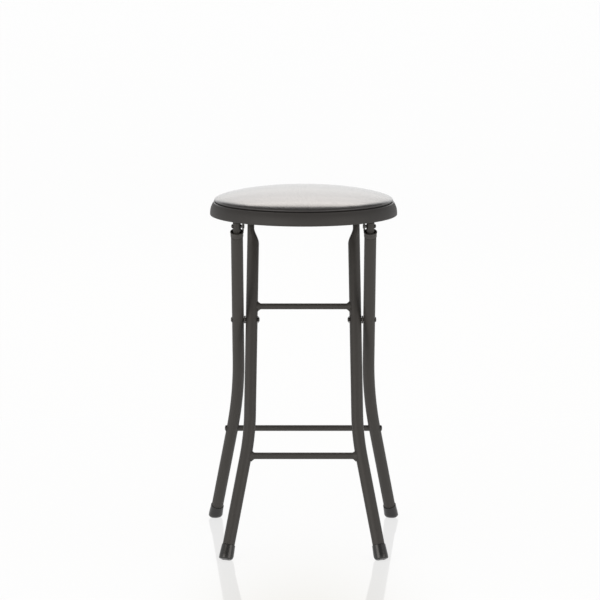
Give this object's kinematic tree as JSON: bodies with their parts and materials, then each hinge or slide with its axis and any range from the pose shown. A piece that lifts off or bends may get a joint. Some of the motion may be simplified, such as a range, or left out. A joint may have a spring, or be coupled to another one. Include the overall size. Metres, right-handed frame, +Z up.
{
  "type": "folding bar stool",
  "caption": "Folding bar stool: crossed tube legs on a scissor pivot, telescoping front rods and a round padded seat that tips up as the legs close.",
  "frame": {"origin": "on the floor, under the centre of the whole stool's bounding box, which is the seat's centre", "axes": "+Z up, +X to the sitter's right when they face -Y, -Y the front with the footrest bar, +Y the rear"},
  "size_m": [0.331, 0.3296, 0.5995],
  "materials": {
    "frame_enamel": "satin enamel on steel tube",
    "dark_hardware": "satin black zinc",
    "collar_plastic": "fine matt moulding",
    "pan_plastic": "satin moulding",
    "foot_rubber": "smooth",
    "plywood": "raw",
    "seat_foam": "open cell",
    "seat_vinyl": "semi-gloss fine grain"
  },
  "bodies": {
    "inner_frame": {"inner_leg_left": "frame_enamel", "inner_leg_right": "frame_enamel", "upper_crossbar": "frame_enamel", "footrest_bar": "frame_enamel", "front_foot_left": "foot_rubber", "front_foot_right": "foot_rubber", "pivot_rivet_left": "dark_hardware", "pivot_rivet_right": "dark_hardware", "pivot_spacer_left": "collar_plastic", "pivot_spacer_right": "collar_plastic", "pivot_washer_left": "dark_hardware", "pivot_washer_right": "dark_hardware", "rear_hinge_rivet_left": "dark_hardware", "rear_hinge_rivet_right": "dark_hardware", "rear_hinge_washer_left": "collar_plastic", "rear_hinge_washer_right": "collar_plastic"},
    "outer_frame": {"outer_leg_left": "frame_enamel", "outer_leg_right": "frame_enamel", "rod_collar_left": "collar_plastic", "rod_collar_right": "collar_plastic", "rear_crossbar": "frame_enamel", "crossbar_screw_left": "dark_hardware", "crossbar_screw_right": "dark_hardware", "rear_foot_left": "foot_rubber", "rear_foot_right": "foot_rubber"},
    "rod_left": {"slide_rod_left": "frame_enamel", "rod_guide_left": "collar_plastic", "front_hinge_pin_left": "dark_hardware"},
    "rod_right": {"slide_rod_right": "frame_enamel", "rod_guide_right": "collar_plastic", "front_hinge_pin_right": "dark_hardware"},
    "seat": {"seat_pan": "pan_plastic", "front_rail": "dark_hardware", "rear_rail": "dark_hardware", "seat_screw_1": "dark_hardware", "seat_screw_2": "dark_hardware", "seat_screw_3": "dark_hardware", "seat_screw_4": "dark_hardware", "seat_screw_5": "dark_hardware", "seat_screw_6": "dark_hardware", "front_pin_tail_left": "dark_hardware", "front_pin_tail_right": "dark_hardware", "seat_board": "plywood", "cushion_foam": "seat_foam", "cushion_cover": "seat_vinyl"}
  },
  "joints": [
    {"name": "fold", "type": "hinge", "parent": "inner_frame", "child": "outer_frame", "pos_m": [0, 0, 0.376], "axis": [-1, 0, 0], "range_deg": [0, 40.7]},
    {"name": "seat_hinge", "type": "hinge", "parent": "inner_frame", "child": "seat", "pos_m": [0, 0.06897, 0.54334], "axis": [-1, 0, 0], "range_deg": [0, 102.92]},
    {"name": "rod_slide_left", "type": "slide", "parent": "outer_frame", "child": "rod_left", "axis": [0, -0.3811, 0.9245], "range_m": [0, 0.1369]},
    {"name": "rod_slide_right", "type": "slide", "parent": "outer_frame", "child": "rod_right", "axis": [0, -0.3811, 0.9245], "range_m": [0, 0.1369]}
  ],
  "couplings": [
    {"joint": "seat_hinge", "follows": "fold", "ratio": 2.5286},
    {"joint": "rod_slide_left", "follows": "fold", "m_per_rad": 0.19269},
    {"joint": "rod_slide_right", "follows": "fold", "m_per_rad": 0.19269}
  ]
}
